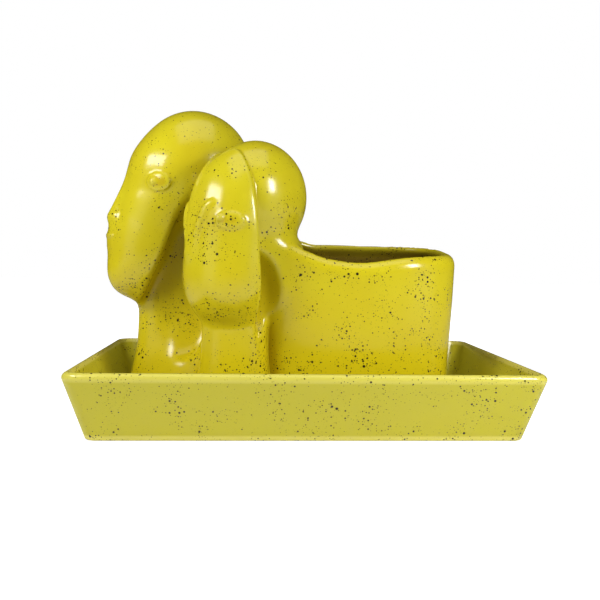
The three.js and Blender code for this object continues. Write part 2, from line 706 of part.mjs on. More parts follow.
// The one casting: both figures and the vessel, hollow, open at the rim and at the drain
function planterSolid() {
  const margin = 2 * HEAD_STEP;
  const headReach = MAN_FACE[0].forward + MAN_FACE[0].depth;
  const left = Math.min(MAN_HEAD_X - headReach, FOOT_LEFT) - margin;
  const behindHeads = WOMAN_NAPE.top[0] + WOMAN_NAPE.tipRadius;
  const right = VESSEL_HALF_LENGTH + VESSEL_END_FLARE + margin;
  const near = Math.min(WOMAN_NECK_Y, WOMAN_HEAD_Y) - WOMAN_FACE[0].depth - margin;
  const far = Math.max(VESSEL_HALF_WIDTH + VESSEL_SIDE_FLARE, MAN_HEAD_Y + MAN_SKULL.depth) + margin;
  const top = Math.max(
    MAN_HEAD_CENTRE + MAN_SKULL.up + MAN_SKULL.height,
    WOMAN_HEAD_CENTRE + WOMAN_HAIR.up + WOMAN_HAIR.height,
  ) + margin;
  const chins = WOMAN_HEAD_CENTRE + WOMAN_FACE[1].up - margin;
  const brows = MAN_HEAD_CENTRE + MAN_FEATURES[0].up + margin;
  const shell = surfaceNet(
    outside,
    gradedLines([left, MAN_HEAD_X, behindHeads, right], [FACE_STEP, HEAD_STEP, VESSEL_STEP]),
    gradedLines([near, MAN_HEAD_Y + margin, far], [FACE_STEP, HEAD_STEP]),
    gradedLines([FOOT_Z - margin, chins, brows, top], [VESSEL_STEP, FACE_STEP, HEAD_STEP]),
  );
  const hollow = surfaceNet(
    figureHollow,
    gradedLines([left, behindHeads + 4 * margin], [HOLLOW_STEP]),
    gradedLines([near, far], [HOLLOW_STEP]),
    gradedLines([FOOT_Z, top], [HOLLOW_STEP]),
  );
  const drain = floorHole(0, 0, DRAIN_DIAMETER, VESSEL_FLOOR_Z);
  const vent = floorHole(MAN_NECK_X, MAN_NECK_Y, VENT_DIAMETER, FOOT_Z);
  return shell
    .subtract(belowFoot(margin))
    .subtract(hollow.add(vesselHollow()))
    .subtract(footRecess().add(drain).add(vent));
}

// Points of a rounded rectangle, anticlockwise from above
function roundedRectangle(halfLength, halfWidth, radius, z) {
  const points = [];
  for (let corner = 0; corner < 4; corner += 1) {
    const centreX = (corner === 0 || corner === 3 ? 1 : -1) * (halfLength - radius);
    const centreY = (corner < 2 ? 1 : -1) * (halfWidth - radius);
    for (let i = 0; i < CORNER_STATIONS; i += 1) {
      const angle = (Math.PI / 2) * (corner + i / (CORNER_STATIONS - 1));
      points.push([centreX + radius * Math.cos(angle), centreY + radius * Math.sin(angle), z]);
    }
  }
  return points;
}

// One ring of the tray: "inset" is measured in from the outline of the rim
function trayRing(inset, z, radius) {
  return roundedRectangle(TRAY_HALF_LENGTH - inset, TRAY_HALF_WIDTH - inset, radius, z);
}

// Rings of an arc in the tray's section, about a centre given as inset and height
function trayArc(centreInset, centreZ, radius, fromDegrees, toDegrees, steps, cornerRadius) {
  const rings = [];
  for (let i = 0; i <= steps; i += 1) {
    const angle = THREE.MathUtils.degToRad(fromDegrees + ((toDegrees - fromDegrees) * i) / steps);
    const inset = centreInset - radius * Math.cos(angle);
    rings.push(trayRing(inset, centreZ + radius * Math.sin(angle), cornerRadius));
  }
  return rings;
}

// Drip tray: its section runs up the flared outside, over a rim that is rounder outside than
// inside, down the inside and through a fillet on to the flat floor
function traySolid() {
  const insideCorner = TRAY_CORNER - TRAY_WALL;
  const wallInsetAt = (z) => TRAY_FLARE * (1 - z / TRAY_HEIGHT);
  const leanAngle = Math.atan2(TRAY_FLARE, TRAY_HEIGHT);
  const lean = THREE.MathUtils.radToDeg(leanAngle);
  const slant = 1 / Math.cos(leanAngle);
  const outerZ = TRAY_HEIGHT - TRAY_RIM_OUTER;
  const innerZ = TRAY_HEIGHT - TRAY_RIM_INNER;
  const filletZ = TRAY_FLOOR + TRAY_FILLET;
  const outerInset = wallInsetAt(outerZ) + TRAY_RIM_OUTER * slant;
  const innerInset = wallInsetAt(innerZ) + TRAY_WALL - TRAY_RIM_INNER * slant;
  const filletInset = wallInsetAt(filletZ) + TRAY_WALL + TRAY_FILLET * slant;
  return loft([
    trayRing(TRAY_FLARE + TRAY_EASE, 0, TRAY_CORNER),
    trayRing(wallInsetAt(TRAY_EASE), TRAY_EASE, TRAY_CORNER),
    ...trayArc(outerInset, outerZ, TRAY_RIM_OUTER, -lean, 90, 5, TRAY_CORNER),
    ...trayArc(innerInset, innerZ, TRAY_RIM_INNER, 90, 180 - lean, 3, insideCorner),
    ...trayArc(filletInset, filletZ, TRAY_FILLET, -lean, -90, 4, insideCorner),
  ]);
}

// A mesh with its own material from a solid
function meshOf(name, solid, material) {
  const { vertProperties, triVerts } = solid.getMesh();
  const geometry = new THREE.BufferGeometry();
  geometry.setAttribute('position', new THREE.BufferAttribute(vertProperties, 3));
  geometry.setIndex(new THREE.BufferAttribute(triVerts, 1));
  geometry.computeVertexNormals();
  const mesh = new THREE.Mesh(geometry, material);
  mesh.name = name;
  return mesh;
}

const group = new THREE.Group();

const planter = meshOf(
  'planter',
  planterSolid(),
  new THREE.MeshStandardMaterial({ color: 0xdfd12b, roughness: 0.12, metalness: 0 }),
);
planter.position.set(PLANTER_X, PLANTER_Y, 0);
group.add(planter);

const dripTray = meshOf(
  'drip_tray',
  traySolid(),
  new THREE.MeshStandardMaterial({ color: 0xd6ca33, roughness: 0.14, metalness: 0 }),
);
group.add(dripTray);

export default group;
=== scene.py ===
"""Dressed model of the couple figure planter.

A speckled yellow, glazed slip-cast planter, whose front end is a pair of stylised heads on
their necks, stands in a flared drip tray. Sizes are in millimetres in the model's own frame
(+Z up, faces towards -X) and become metres where a mesh is made.
"""

import logging
import math
from dataclasses import dataclass, field
from enum import Enum
from typing import Callable, Sequence

import bmesh
import bpy
import numpy as np
from mathutils import Matrix, Vector


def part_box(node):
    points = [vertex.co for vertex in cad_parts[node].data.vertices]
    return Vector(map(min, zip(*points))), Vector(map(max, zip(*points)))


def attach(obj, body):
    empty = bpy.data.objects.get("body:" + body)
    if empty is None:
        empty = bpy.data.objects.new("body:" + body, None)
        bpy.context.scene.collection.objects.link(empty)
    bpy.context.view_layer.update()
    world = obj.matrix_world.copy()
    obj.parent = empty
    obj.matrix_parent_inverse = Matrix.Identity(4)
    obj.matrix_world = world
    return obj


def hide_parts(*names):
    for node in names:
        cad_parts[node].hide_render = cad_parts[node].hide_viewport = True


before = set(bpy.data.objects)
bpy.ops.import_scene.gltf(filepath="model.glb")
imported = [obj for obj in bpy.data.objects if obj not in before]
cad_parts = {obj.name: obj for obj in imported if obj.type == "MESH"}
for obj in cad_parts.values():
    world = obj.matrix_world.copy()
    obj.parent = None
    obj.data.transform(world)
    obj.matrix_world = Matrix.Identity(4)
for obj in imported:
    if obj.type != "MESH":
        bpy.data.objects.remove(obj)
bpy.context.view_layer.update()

LOG = logging.getLogger("planter")
MM = 0.001
FAR_AWAY = 1e3
LEAST_DIVISOR = 1e-6
Array = np.ndarray
# Three arrays: along and across the vessel from its middle and the height, or forward, to the
# left hand and up from a head's centre.
Point = Sequence[Array]
Field = Callable[[Point], Array]
Tree = bpy.types.NodeTree
Socket = bpy.types.NodeSocket


class Body(Enum):
    """Bodies of the frame that a piece can ride on."""

    TRAY = "tray"
    PLANTER = "planter"


class Slot(Enum):
    """Material slots of the record."""

    PLANTER = "planter_glaze"
    TRAY = "tray_glaze"


def meld(a: Array, b: Array, blend: float) -> Array:
    """Smooth union: the lesser field, lowered by a parabola where both are within "blend"."""
    near = np.maximum(blend - np.abs(a - b), 0) / max(blend, LEAST_DIVISOR)
    return np.minimum(a, b) - near * near * blend / 4


def trim(a: Array, b: Array, blend: float) -> Array:
    """Smooth intersection of two fields: the union of their outsides, turned inside out."""
    return -meld(-a, -b, blend)


def eased_step(start: float, end: float, value: Array) -> Array:
    """Cubic step 3t^2 - 2t^3, from 0 at "start" to 1 at "end"."""
    t = np.clip((value - start) / (end - start), 0, 1)
    return t * t * (3 - 2 * t)


def oval_column(x: Array, y: Array, half_length: Array, half_width: Array, squareness: float) -> Array:
    """Distance to an upright column whose plan is a squared oval.

    The plan is |x/a|^n + |y/b|^n = 1, and the excess of its n-th root over 1 is divided by
    the length of that root's gradient.

    Args:
        x: Places along the oval's length.
        y: Places along its width.
        half_length: a, which may vary with height.
        half_width: b, which may vary with height.
        squareness: n, 2 for an ellipse and more for squarer ends.

    Returns:
        Approximate distance, negative inside.
    """
    sx = np.abs(x / half_length)
    sy = np.abs(y / half_width)
    k = np.maximum((sx ** squareness + sy ** squareness) ** (1 / squareness), LEAST_DIVISOR)
    gx = (sx / k) ** (squareness - 1) / half_length
    gy = (sy / k) ** (squareness - 1) / half_width
    return (k - 1) / np.hypot(gx, gy)


@dataclass(frozen=True)
class Mass:
    """An ellipsoid of clay, placed forward, aside and up from a head's centre.

    Its depth, width and height are half sizes.
    """

    forward: float
    aside: float
    up: float
    depth: float
    width: float
    height: float
    blend: float = 0.0
    both: bool = False

    def distance(self, point: Point) -> Array:
        """Distance to the ellipsoid: k0 (k0 - 1) / k1, with k0 and k1 its two scaled radii.

        Args:
            point: Places forward, aside and up from the head's centre.

        Returns:
            Approximate distance, negative inside.
        """
        forward, aside, up = point
        u = forward - self.forward
        v = (np.abs(aside) if self.both else aside) - self.aside
        w = up - self.up
        k0 = np.sqrt((u / self.depth) ** 2 + (v / self.width) ** 2 + (w / self.height) ** 2)
        k1 = np.sqrt(
            (u / self.depth ** 2) ** 2 + (v / self.width ** 2) ** 2 + (w / self.height ** 2) ** 2
        )
        return k0 * (k0 - 1) / np.maximum(k1, LEAST_DIVISOR)


@dataclass(frozen=True)
class Rod:
    """A rod with round ends that tapers from one point to another."""

    top: tuple[float, float, float]
    tip: tuple[float, float, float]
    top_radius: float
    tip_radius: float
    blend: float
    both: bool = False

    def distance(self, point: Point) -> Array:
        """Distance to the nearest point of the middle line, less the radius there.

        Args:
            point: Places in the directions in which the rod's ends are given.

        Returns:
            Distance, negative inside.
        """
        x, y, z = point
        side = np.abs(y) if self.both else y
        along = [tip - top for tip, top in zip(self.tip, self.top)]
        offset = [x - self.top[0], side - self.top[1], z - self.top[2]]
        length2 = sum(a * a for a in along)
        t = np.clip(sum(a * o for a, o in zip(along, offset)) / length2, 0, 1)
        gap = np.sqrt(sum((o - a * t) ** 2 for a, o in zip(along, offset)))
        return gap - (self.top_radius + (self.tip_radius - self.top_radius) * t)


@dataclass(frozen=True)
class Column:
    """An upright squared oval column, rounded on top, that may swell towards the foot."""

    x: float
    y: float
    half_depth: float
    half_width: float
    squareness: float
    blend: float
    swell: float = 0.0
    top: float = 150.0
    top_blend: float = 6.0
    swell_height: float = 14.0
    swell_span: float = 26.0

    def distance(self, point: Point) -> Array:
        """Oval column, wider by a bell curve of height near the foot.

        Args:
            point: Places from the middle of the vessel.

        Returns:
            Field of the column, negative inside.
        """
        x, y, z = point
        swell = self.swell * np.exp(-(((z - self.swell_height) / self.swell_span) ** 2))
        column = oval_column(
            x - self.x, y - self.y, self.half_depth + swell, self.half_width + swell, self.squareness
        )
        return trim(column, z - self.top, self.top_blend)


def add_forms(body: Array, forms: tuple[Mass | Rod | Column, ...], point: Point) -> Array:
    """Melds masses, rods or columns on to a body one after another."""
    for form in forms:
        body = meld(body, form.distance(point), form.blend)
    return body


@dataclass(frozen=True)
class HeadPlace:
    """Where a head's centre is, from the middle of the vessel, and its turn in degrees."""

    x: float
    y: float
    centre: float
    turn: float

    def local(self, point: Point) -> Point:
        """Turns places into the head's own directions.

        Args:
            point: Places from the middle of the vessel.

        Returns:
            The same places forward, aside and up from the head's centre.
        """
        angle = math.radians(self.turn)
        dx, dy = point[0] - self.x, point[1] - self.y
        forward = -dx * math.cos(angle) - dy * math.sin(angle)
        aside = dx * math.sin(angle) - dy * math.cos(angle)
        return forward, aside, point[2] - self.centre


@dataclass(frozen=True)
class SlantedEdge:
    """Plane across a head, behind which a face is cut off: it leans with height."""

    forward: float
    lean: float
    blend: float

    def cut(self, face: Array, point: Point) -> Array:
        """Keeps what lies in front of the plane."""
        return trim(face, self.forward + self.lean * point[2] - point[0], self.blend)


def ridge(face: Mass, start: tuple[float, float], bend: tuple[float, float], end: tuple[float, float],
          lift: float, radius: float, blend: float, count: int = 8,
          thin_end: float = 0.12) -> tuple[Rod, ...]:
    """Chain of short rods that follows a face along a quadratic curve, on both sides of it.

    Args:
        face: The mass whose front the chain follows.
        start: Where the curve starts, aside and up.
        bend: The point that draws the curve to its side.
        end: Where the curve ends.
        lift: Height of the chain's middle line over the mass.
        radius: Radius of the rods half-way, from where they thin as a sine towards both ends.
        blend: Blend into the face.
        count: Number of rods.
        thin_end: Share of half a sine wave that is left out at each end.

    Returns:
        The rods, from the start on.
    """
    t = np.linspace(0, 1, count + 1)[:, None]
    curve = (1 - t) ** 2 * np.array(start) + 2 * t * (1 - t) * np.array(bend) + t * t * np.array(end)
    v, w = (curve[:, 0] - face.aside) / face.width, (curve[:, 1] - face.up) / face.height
    u = np.sqrt(1 - v * v - w * w)
    normal = np.stack([u / face.depth, v / face.width, w / face.height], axis=1)
    normal /= np.linalg.norm(normal, axis=1, keepdims=True)
    middle = np.stack([face.forward + face.depth * u, curve[:, 0], curve[:, 1]], axis=1)
    points = (middle + lift * normal).tolist()
    radii = (radius * np.sin(math.pi * (thin_end + (1 - 2 * thin_end) * t[:, 0]))).tolist()
    return tuple(
        Rod(tuple(points[i]), tuple(points[i + 1]), radii[i], radii[i + 1], blend, both=True)
        for i in range(count)
    )


@dataclass(frozen=True)
class Eye:
    """One of a pair of button eyes: a low almond lid with a small ball near its inner end.

    It is set square to the skin: "aim" is the angle in degrees by which it faces aside.
    """

    forward: float
    aside: float
    up: float
    aim: float
    lid: Mass
    ball: Mass

    def shape(self, head: Array, point: Point) -> Array:
        """Melds the lid and the ball on to both sides of a head.

        Args:
            head: Field of the head.
            point: Places forward, aside and up from the head's centre.

        Returns:
            The head's field with its eyes.
        """
        aim = math.radians(self.aim)
        ahead = point[0] - self.forward
        outward = np.abs(point[1]) - self.aside
        own = (
            ahead * math.cos(aim) + outward * math.sin(aim),
            outward * math.cos(aim) - ahead * math.sin(aim),
            point[2] - self.up,
        )
        return add_forms(head, (self.lid, self.ball), own)


@dataclass(frozen=True)
class Head:
    """A head: a face that ends at a slanted edge, melded into the crown behind it."""

    place: HeadPlace
    crown: Mass
    face: tuple[Mass, ...]
    edge: SlantedEdge
    edge_blend: float
    eye: Eye
    pit: Mass
    blend: float
    features: tuple[Mass | Rod, ...]

    def hollow_behind(self, own: Point) -> Array:
        """The pit beside the neck, over which the face's edge hangs."""
        return self.pit.distance(own)

    def raise_skin(self, head: Array, own: Point) -> Array:
        """Leaves the head as it is; a head with raised skin has its own method."""
        return head

    def join(self, body: Array, point: Point, detailed: bool) -> Array:
        """Presses the pit into a body and melds the head on.

        The head is the crown and the face in front of its edge, then skin, features and eyes.

        Args:
            body: Field of everything that is already joined.
            point: Places from the middle of the vessel.
            detailed: Whether the skin is raised and features and eyes are added.

        Returns:
            The melded field.
        """
        own = self.place.local(point)
        face = add_forms(self.face[0].distance(own), self.face[1:], own)
        head = meld(self.crown.distance(own), self.edge.cut(face, own), self.edge_blend)
        if detailed:
            head = add_forms(self.raise_skin(head, own), self.features, own)
            head = self.eye.shape(head, own)
        return meld(trim(body, -self.hollow_behind(own), self.pit.blend), head, self.blend)


@dataclass(frozen=True)
class TallHead(Head):
    """The taller head: a bald skull, a long face that ends at the jaw line, button eyes."""

    place: HeadPlace = HeadPlace(-134.8, 15.0, 152.5, 14.0)
    crown: Mass = Mass(-17.5, 0, 27, 42, 33, 41.6)
    face: tuple[Mass, ...] = (
        Mass(7, 0, -22, 33, 27, 57),  # whole face
        Mass(20, 0, -40, 23, 20, 29, blend=14),  # jaw
        Mass(2, 0, 0, 31, 29.5, 34, blend=6),  # cheeks
    )
    edge: SlantedEdge = SlantedEdge(-5.5, -0.385, blend=6)
    edge_blend: float = 13.0
    eye: Eye = Eye(
        13.7, 28.4, 13.0, 66.0,
        lid=Mass(-0.2, 0.8, 0, 1.6, 8.6, 6.0, blend=2.4),
        ball=Mass(0.6, -2.8, 0.4, 2.3, 2.8, 2.8, blend=1.5),
    )
    pit: Mass = Mass(-8, 22, -50, 28, 14.5, 60, blend=12)
    blend: float = 9.0
    features: tuple[Mass | Rod, ...] = (
        Mass(-8, 0, 24, 38, 31, 30, blend=8),  # forehead
        Rod((26, 0, 20), (41.4, 0, -11), 3.4, 4.6, blend=6),  # nose
        Mass(38, 4.5, -11, 5, 3.6, 3.8, blend=3, both=True),  # sides of the nose
        Mass(33, 0, -28, 13, 13, 21, blend=4),  # mouth
        Mass(42.2, 0, -24.5, 4.5, 10, 3.0, blend=1.2),  # upper lip
        Mass(41.2, 0, -32, 4.5, 8.5, 3.4, blend=1.2),  # lower lip
        Mass(33, 0, -51, 12, 13, 15, blend=8),  # chin
    )


@dataclass(frozen=True)
class ShortHead(Head):
    """The shorter head: a face like a mask that stands proud of a smooth cap of hair.

    The face is cut off behind a nearly upright plane, where it meets the hair in a ridge.
    In front of that plane and below the hairline the whole surface is raised a little. The
    hairline rises from the middle of the forehead to a point above each temple.
    """

    place: HeadPlace = HeadPlace(-81.3, -29.0, 129.2, 30.0)
    crown: Mass = Mass(-11, 0, 26.5, 37, 30, 38.5)
    face: tuple[Mass, ...] = (
        Mass(6, 0, 1, 31, 31.5, 56),  # whole face
        Mass(9, 0, -33, 29, 28.5, 31, blend=14),  # jaw
    )
    edge: SlantedEdge = SlantedEdge(4.8, 0.08, blend=3.5)
    edge_blend: float = 2.5
    eye: Eye = Eye(
        25.1, 27.2, 9.0, 56.0,
        lid=Mass(-0.2, 0.5, -0.8, 1.5, 9.5, 5.2, blend=3.0),
        ball=Mass(0.6, -5.6, 0.8, 2.3, 3.0, 2.8, blend=1.5),
    )
    pit: Mass = Mass(2.4, 22.8, -40, 17, 16.5, 28, blend=5)
    blend: float = 4.0
    features: tuple[Mass | Rod, ...] = (
        Rod((32, 0, 14), (35.5, 0, -12), 3.0, 5.0, blend=8),  # nose
        # Brow, from above the eye down beside the nose.
        *ridge(face[0], (16.5, 20), (11, 17), (3, -14), lift=1.2, radius=2.0, blend=3),
    )
    raised: float = 2.0
    raised_blend: float = 1.5
    hairline: tuple[float, float, float] = (0.337, 0.908, -0.248)
    hairline_up: float = 10.0

    def hollow_behind(self, own: Point) -> Array:
        """The pit beside the neck, kept behind the face's edge."""
        before = own[0] - self.edge.forward - self.edge.lean * own[2]
        return trim(self.pit.distance(own), before, self.pit.blend)

    def raise_skin(self, head: Array, own: Point) -> Array:
        """Raises the skin in front of the face's edge and below the hairline.

        Args:
            head: Field of the plain head.
            own: Places forward, aside and up from its centre.

        Returns:
            The head's field with raised skin.
        """
        forward, aside, up = own
        a, b, c = self.hairline
        below = a * forward + b * np.abs(aside) + c * (up - self.hairline_up)
        skin = trim(head - self.raised, -below, self.raised_blend)
        return meld(head, self.edge.cut(skin, own), self.raised_blend)


@dataclass(frozen=True)
class Figures:
    """Heads, necks, napes and the low saddle between them, which stay closed on top."""

    tall_head: TallHead = TallHead()
    short_head: ShortHead = ShortHead()
    tall_neck: Column = Column(-128.7, 22.0, 30.6, 16.0, 2.3, blend=7, swell=7.0)
    tall_foot: Rod = Rod((-124, 12, 52), (-124, 2, -5), 9, 26, blend=16)
    short_neck: Column = Column(-86.0, -27.0, 22.6, 24.0, 2.6, blend=3, swell=2.48)
    short_nape: Rod = Rod((-71.5, -20, 150), (-71.5, -18, 96), 27, 29, blend=12)
    tall_nape: Rod = Rod((-116.5, 22, 150), (-108.5, 20, 90), 20, 24, blend=10)
    saddle: Column = Column(-88.5, 15.0, 42.0, 34.0, 2.4, blend=10, top=92.0, top_blend=20.0)

    def distance(self, point: Point, seed: Array, detailed: bool = True) -> Array:
        """Meld of every column and head on to a seed field, in the order in which they join.

        Args:
            point: Places from the middle of the vessel.
            seed: Field to start from, such as the vessel's.
            detailed: Whether the heads have their features.

        Returns:
            The melded field, negative inside.
        """
        behind = (self.short_nape, self.saddle, self.tall_nape, self.tall_neck, self.tall_foot)
        body = add_forms(seed, behind, point)
        body = self.tall_head.join(body, point, detailed)
        body = add_forms(body, (self.short_neck,), point)
        return self.short_head.join(body, point, detailed)


@dataclass(frozen=True)
class Vessel:
    """The oblong pot behind the figures: a squared oval that widens towards its rim."""

    half_length: float = 67.3
    half_width: float = 46.5
    end_flare: float = 5.5
    side_flare: float = 3.5
    squareness: float = 2.7
    wall: float = 5.0
    floor: float = 6.0
    foot_z: float = 6.3
    recess_depth: float = 2.0
    recess_blend: float = 1.0
    foot_ring: float = 10.0
    drain_radius: float = 6.5
    rim_height: float = 120.5
    rim_round: float = 10.0
    rim_fall: float = 0.1
    near_side: tuple[float, float] = (9.0, -41.0)
    dip: float = 4.2
    dip_x: float = -2.5
    dip_span: float = 24.0
    climb: float = 5.0
    climb_between: tuple[float, float] = (-22.5, -46.5)
    lip_inset: float = 7.5
    lip_round: float = 3.0

    def rim(self, point: Point) -> Array:
        """Rim height: falls to the near side, dips there in a bell curve, climbs to the napes.

        Args:
            point: Places from the middle of the vessel.

        Returns:
            Heights of the rim.
        """
        x, y, _ = point
        near_side = eased_step(*self.near_side, y)
        dip = self.dip * np.exp(-(((x - self.dip_x) / self.dip_span) ** 2)) * near_side
        climb = self.climb * eased_step(*self.climb_between, x)
        return self.rim_height + self.rim_fall * y - dip + climb

    def plan(self, point: Point, inset: Array) -> Array:
        """Field of the squared oval, which grows evenly with height, drawn in by an inset."""
        rise = (point[2] - self.foot_z) / (self.rim_height - self.foot_z)
        return oval_column(
            *point[:2],
            self.half_length + self.end_flare * rise - inset,
            self.half_width + self.side_flare * rise - inset,
            self.squareness,
        )

    def outside(self, point: Point) -> Array:
        """Column under the rim surface, with a rounded shoulder between the two."""
        return trim(self.plan(point, 0.0), point[2] - self.rim(point), self.rim_round)

    def inside(self, point: Point) -> Array:
        """Hollow: rounded at the floor, drawn in under the lip, open upward.

        Args:
            point: Places from the middle of the vessel.

        Returns:
            Field of the hollow, negative inside.
        """
        x, y, z = point
        below = self.rim(point) - z
        drawn_in = (self.lip_inset - self.wall) * eased_step(self.rim_round, self.lip_round, below)
        walls = self.plan((x, y, np.minimum(z, self.rim_height)), self.wall + drawn_in)
        floor_z = self.foot_z + self.recess_depth + self.floor
        return trim(walls, floor_z - z, 2 * self.floor)

    def foot_cuts(self, point: Point) -> Array:
        """Recess under the vessel and the drain hole in its middle, as one field.

        Args:
            point: Places from the middle of the vessel.

        Returns:
            Field of both cuts, negative inside.
        """
        x, y, z = point
        above = z - self.foot_z - self.recess_depth
        ring = oval_column(
            x, y, self.half_length - self.foot_ring, self.half_width - self.foot_ring, self.squareness
        )
        hole = np.maximum(np.hypot(x, y) - self.drain_radius, above - 2 * self.floor)
        return np.minimum(trim(ring, above, self.recess_blend), hole)


@dataclass(frozen=True)
class SurfaceNet:
    """Mesh of a field's zero surface on a grid whose lines may be unevenly spaced.

    Each grid cell that the surface passes through has one vertex, the mean of the points
    where the cell's edges cross it, moved along the field's slope on to the surface. Each
    crossed grid edge has one quad between the four cells round it.
    """

    lines: tuple[Array, Array, Array]
    slope_step: float = 0.04
    newton_steps: int = 4

    def sample(self, distance: Field) -> Array:
        """Values of the field at every grid node."""
        grid = np.meshgrid(*self.lines, indexing="ij", sparse=True)
        return distance(np.broadcast_arrays(*grid))

    def slope(self, distance: Field, points: Array) -> Array:
        """Gradient of the field at each row of points, by central differences."""
        rises = [
            distance((points + shift).T) - distance((points - shift).T)
            for shift in self.slope_step * np.eye(3)
        ]
        return np.stack(rises, axis=1) / (2 * self.slope_step)

    def crossed_edges(self, axis: int, values: Array) -> tuple[Array, Array]:
        """Grid edges along one axis that the surface crosses.

        Args:
            axis: The axis.
            values: Field at the grid nodes.

        Returns:
            Where each edge is crossed, and the lowest nodes of the four cells round it, in
            the order that faces outwards.
        """
        count = values.shape[axis]
        before = np.take(values, range(count - 1), axis=axis)
        after = np.take(values, range(1, count), axis=axis)
        edges = np.argwhere((before < 0) != (after < 0))
        before, after = before[tuple(edges.T)], after[tuple(edges.T)]
        points = np.stack([line[edges[:, k]] for k, line in enumerate(self.lines)], axis=1)
        points[:, axis] += before / (before - after) * np.diff(self.lines[axis])[edges[:, axis]]
        around = np.zeros((4, 3), dtype=int)
        around[[1, 2], (axis + 1) % 3] = 1
        around[[2, 3], (axis + 2) % 3] = 1
        cells = edges[:, None] - around
        cells[before >= 0] = cells[before >= 0][:, ::-1]
        return points, cells

    def settle(self, distance: Field, points: Array, reach: Array) -> Array:
        """Moves points on to the surface by Newton steps along the slope.

        Args:
            distance: The field.
            points: Places near its surface.
            reach: How far each may move along each axis.

        Returns:
            The moved places.
        """
        start = points
        for _ in range(self.newton_steps):
            slope = self.slope(distance, points)
            size2 = np.maximum((slope ** 2).sum(axis=1), LEAST_DIVISOR)
            points = points - slope * (distance(points.T) / size2)[:, None]
            points = np.clip(points, start - reach, start + reach)
        return points

    def build(self, distance: Field) -> tuple[Array, Array]:
        """Vertices and quads of the zero surface, facing outwards.

        Args:
            distance: The field, negative inside.

        Returns:
            Vertex places, and four vertex numbers for each quad.
        """
        values = self.sample(distance)
        crossed = [self.crossed_edges(axis, values) for axis in range(3)]
        crossings, rings = (np.concatenate(parts) for parts in zip(*crossed))
        cells, number = np.unique(rings.reshape(-1, 3), axis=0, return_inverse=True)
        quads = number.reshape(-1, 4)
        points = np.zeros(cells.shape)
        np.add.at(points, quads, crossings[:, None])
        points /= np.bincount(quads.ravel())[:, None]
        steps = [np.diff(line) for line in self.lines]
        reach = np.stack([step[cells[:, k]] for k, step in enumerate(steps)], axis=1) / 2
        return self.settle(distance, points, reach), quads


def graded_lines(stops: list[float], steps: list[float]) -> Array:
    """Grid lines through all stops, spaced evenly between two stops and by a step at most."""
    parts = [
        np.linspace(start, end, math.ceil((end - start) / step) + 1)[1:]
        for start, end, step in zip(stops, stops[1:], steps)
    ]
    return np.concatenate([stops[:1], *parts])


def new_mesh_object(name: str, points: Array, quads: Array,
                    normals: Array | None = None) -> bpy.types.Object:
    """Makes a smooth mesh object from whole arrays.

    Args:
        name: Name of the object and its mesh.
        points: Vertex places in millimetres.
        quads: Four vertex numbers for each face.
        normals: Vertex normals to shade with, or None to let Blender average the faces.

    Returns:
        The linked object, at the origin.
    """
    mesh = bpy.data.meshes.new(name)
    mesh.vertices.add(len(points))
    mesh.vertices.foreach_set("co", (points * MM).ravel())
    mesh.loops.add(quads.size)
    mesh.loops.foreach_set("vertex_index", quads.ravel())
    mesh.polygons.add(len(quads))
    mesh.polygons.foreach_set("loop_start", np.arange(len(quads)) * 4)
    mesh.polygons.foreach_set("use_smooth", np.ones(len(quads), dtype=bool))
    mesh.update(calc_edges=True)
    mesh.validate()
    if normals is not None:
        mesh.normals_split_custom_set_from_vertices(normals)
    thing = bpy.data.objects.new(name, mesh)
    bpy.context.scene.collection.objects.link(thing)
    return thing


def add_point_value(thing: bpy.types.Object, name: str, values: Array) -> None:
    """Stores one number for each vertex, under a name, for a material to read."""
    layer = thing.data.attributes.new(name, "FLOAT", "POINT")
    layer.data.foreach_set("value", values.astype(np.float32))


def linear(hex_colour: str) -> tuple[float, float, float, float]:
    """Linear RGBA of an sRGB colour written as six hex digits."""
    parts = [int(hex_colour[i:i + 2], 16) / 255 for i in (0, 2, 4)]
    return (*(p / 12.92 if p <= 0.04045 else ((p + 0.055) / 1.055) ** 2.4 for p in parts), 1.0)


def add_node(tree: Tree, kind: str, settings: dict | None = None,
             links: dict | None = None) -> bpy.types.Node:
    """Adds a shader node.

    Args:
        tree: Node tree of the material or the world.
        kind: The node's type name without "ShaderNode".
        settings: Properties by name, or values of sockets by their name or number.
        links: Output sockets by the name or number of the input that they feed.

    Returns:
        The node.
    """
    node = tree.nodes.new("ShaderNode" + kind)
    for key, value in (settings or {}).items():
        if isinstance(key, str) and hasattr(node, key):
            setattr(node, key, value)
        else:
            node.inputs[key].default_value = value
    for key, socket in (links or {}).items():
        tree.links.new(socket, node.inputs[key])
    return node


@dataclass(frozen=True)
class Ramp:
    """Straight change of one number with another, level beyond both ends."""

    start: float
    end: float
    low: float
    high: float

    def settings(self) -> dict[str, float]:
        """The ramp as the settings of a MapRange node."""
        return {"From Min": self.start, "From Max": self.end, "To Min": self.low, "To Max": self.high}


@dataclass(frozen=True)
class SpeckLayer:
    """Specks of one kind: mean spacing, least and greatest radius in millimetres, colour."""

    spacing: float
    least: float
    most: float
    colour: str


